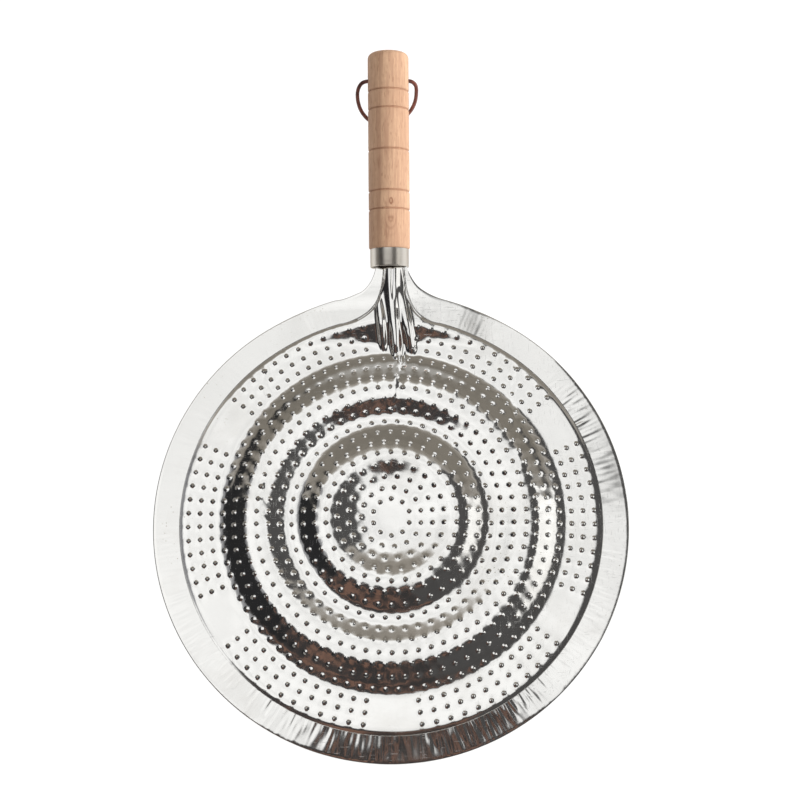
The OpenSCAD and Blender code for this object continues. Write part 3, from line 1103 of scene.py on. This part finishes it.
def makeLeather():
    material, tree, shader = newMaterial("leatherCord")
    place = addNode(tree, "ShaderNodeTexCoord").outputs["Object"]
    cloud = noiseTexture(tree, place, 260.0, 4.0, 0.6)
    grain = addNode(
        tree, "ShaderNodeTexVoronoi", {"feature": "F1"}, Vector=place, Scale=2600.0
    ).outputs[0]
    colour = mixColour(tree, fade(tree, cloud, 0.3, 0.7), leather["dark"], leather["red"])
    colour = mixColour(tree, fade(tree, grain, 0.45, 0.75, 0, 0.4), colour, leather["crease"])
    tree.links.new(colour, shader.inputs["Base Color"])
    tree.links.new(fade(tree, cloud, 0.3, 0.7, 0.38, 0.55), shader.inputs["Roughness"])
    shader.inputs["Sheen Weight"].default_value = 0.15
    bump = addNode(tree, "ShaderNodeBump", {"invert": True}, Strength=0.4, Distance=0.0001, Height=grain)
    tree.links.new(bump.outputs[0], shader.inputs["Normal"])
    return material


handlePiece = makeHandle()
finishPiece(handlePiece, "diffuser", makeBeech(), 38)
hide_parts("handle")
ferrulePiece = makeFerrule()
finishPiece(ferrulePiece, "diffuser", makeNickel(), 45)
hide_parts("ferrule")
addLoop(makeLeather())
print("handle, ferrule and loop made")

studio = {
    "floorSize": 6,
    "floorTone": 0.15,
    "floorGlow": 0.94,
    "floorDrop": 0.4 * mm,
    # (from, to across in degrees off the zenith, from, to along, colour)
    "panels": [
        (-200, 200, -200, -10, (0.042, 0.04, 0.04, 1)),  # dark side towards the camera
        (15, 200, -200, 200, (0.075, 0.073, 0.072, 1)),
        (-200, -37, -200, 200, (0.022, 0.022, 0.023, 1)),
        (-37, -26, -12, 30, (0.3, 0.3, 0.31, 1)),  # grey flag beside the soft box
        (-48, 52, 30, 200, (0.215, 0.195, 0.165, 1)),  # wall behind the handle
        (-48, 52, 29, 34, (0.4, 0.375, 0.34, 1)),  # its lighter lower part
        (-48, 52, 34, 40, (0.29, 0.265, 0.23, 1)),
        (42, 78, -22, 27, (1.2, 1.19, 1.16, 1)),  # window on the right
        (-30, 14.5, -12, 30, (1.0, 1.0, 0.99, 1)),  # big soft box overhead
    ],
    "edge": 2.0,  # softness of their edges, in degrees
    "horizon": 0.27,
    "wallTop": 0.39,  # pale walls all round, up to this height
    "wall": (0.42, 0.41, 0.39, 1),
    # brown board under the dark side
    "board": (-34, 34, -50, -16, (0.2, 0.115, 0.085, 1)),
    "base": (0.05, 0.05, 0.05, 1),
    "surround": (0.95, 0.95, 0.95, 1),  # below the horizon
    "leftSurround": (0.16, 0.145, 0.13, 1),
    # (place, size, power)
    "lights": {
        "overhead": ((0.1, 0.0, 1.3), 0.8, 6),
        "rightFill": ((1.1, -0.1, 0.6), 0.6, 17),
    },
}


def makeWorld():
    world = bpy.data.worlds.new("studio")
    world.use_nodes = True
    bpy.context.scene.world = world
    tree = world.node_tree
    direction = addNode(tree, "ShaderNodeTexCoord").outputs["Generated"]
    x, y, z = addNode(tree, "ShaderNodeSeparateXYZ", None, i0=direction).outputs
    toDegrees = 180 / math.pi
    across = calc(tree, "MULTIPLY", calc(tree, "ARCTAN2", x, z), toDegrees)
    lengthwise = calc(tree, "MULTIPLY", calc(tree, "ARCTAN2", y, z), toDegrees)
    colour = studio["base"]
    soft = studio["edge"]
    blotch = fade(tree, noiseTexture(tree, direction, 7.0, 3.0, 0.6, 0.6), 0.47, 0.6)
    for left, right, near, far, tone in studio["panels"][:1] + [studio["board"]] + studio["panels"][1:]:
        mask = calc(
            tree, "MULTIPLY", fade(tree, across, left - soft, left + soft),
            fade(tree, across, right + soft, right - soft),
        )
        mask = calc(tree, "MULTIPLY", mask, fade(tree, lengthwise, near - soft, near + soft))
        mask = calc(tree, "MULTIPLY", mask, fade(tree, lengthwise, far + soft, far - soft))
        if tone is studio["board"][4]:
            mask = calc(tree, "MULTIPLY", mask, blotch)
        colour = mixColour(tree, mask, colour, tone)
    shade = fade(tree, noiseTexture(tree, direction, 5.0, 4.0, 0.6), 0.35, 0.7, 1.03, 0.82)
    grey = addNode(tree, "ShaderNodeCombineColor", None, Red=shade, Green=shade, Blue=shade)
    colour = mixColour(tree, 1.0, colour, grey.outputs[0], "MULTIPLY")
    surround = mixColour(
        tree, fade(tree, x, -0.75, -0.2), studio["leftSurround"], studio["surround"]
    )
    walls = fade(tree, z, studio["wallTop"] + 0.05, studio["wallTop"] - 0.05, 0, 0.75)
    colour = mixColour(tree, walls, colour, studio["wall"])
    low = fade(tree, z, studio["horizon"] + 0.04, studio["horizon"] - 0.04)
    colour = mixColour(tree, low, colour, surround)
    seen = addNode(tree, "ShaderNodeLightPath").outputs["Is Camera Ray"]
    colour = mixColour(tree, seen, colour, (1, 1, 1, 1))
    tree.links.new(colour, tree.nodes["Background"].inputs["Color"])


def addPanelLight(name, location, size, power):
    light = bpy.data.lights.new(name, "AREA")
    light.shape = "SQUARE"
    light.size = size
    light.energy = power
    piece = bpy.data.objects.new(name, light)
    bpy.context.collection.objects.link(piece)
    piece.location = location
    piece.rotation_euler = (-Vector(location)).to_track_quat("-Z", "Y").to_euler()
    piece.visible_glossy = False


def addFloor():
    deselectAll()
    bpy.ops.mesh.primitive_plane_add(size=studio["floorSize"])
    piece = bpy.context.object
    piece.name = "floor"
    material, tree, shader = newMaterial("paleFloor")
    shader.inputs["Base Color"].default_value = (studio["floorTone"],) * 3 + (1,)
    shader.inputs["Roughness"].default_value = 0.9
    shader.inputs["Emission Color"].default_value = (1, 1, 1, 1)
    shader.inputs["Emission Strength"].default_value = studio["floorGlow"]
    piece.data.materials.append(material)
    piece.location.z = -studio["floorDrop"]


makeWorld()
addFloor()
for name, (place, size, power) in studio["lights"].items():
    addPanelLight(name, place, size, power)
bpy.context.scene.view_settings.view_transform = "Standard"
print("studio lit")

bpy.context.view_layer.update()
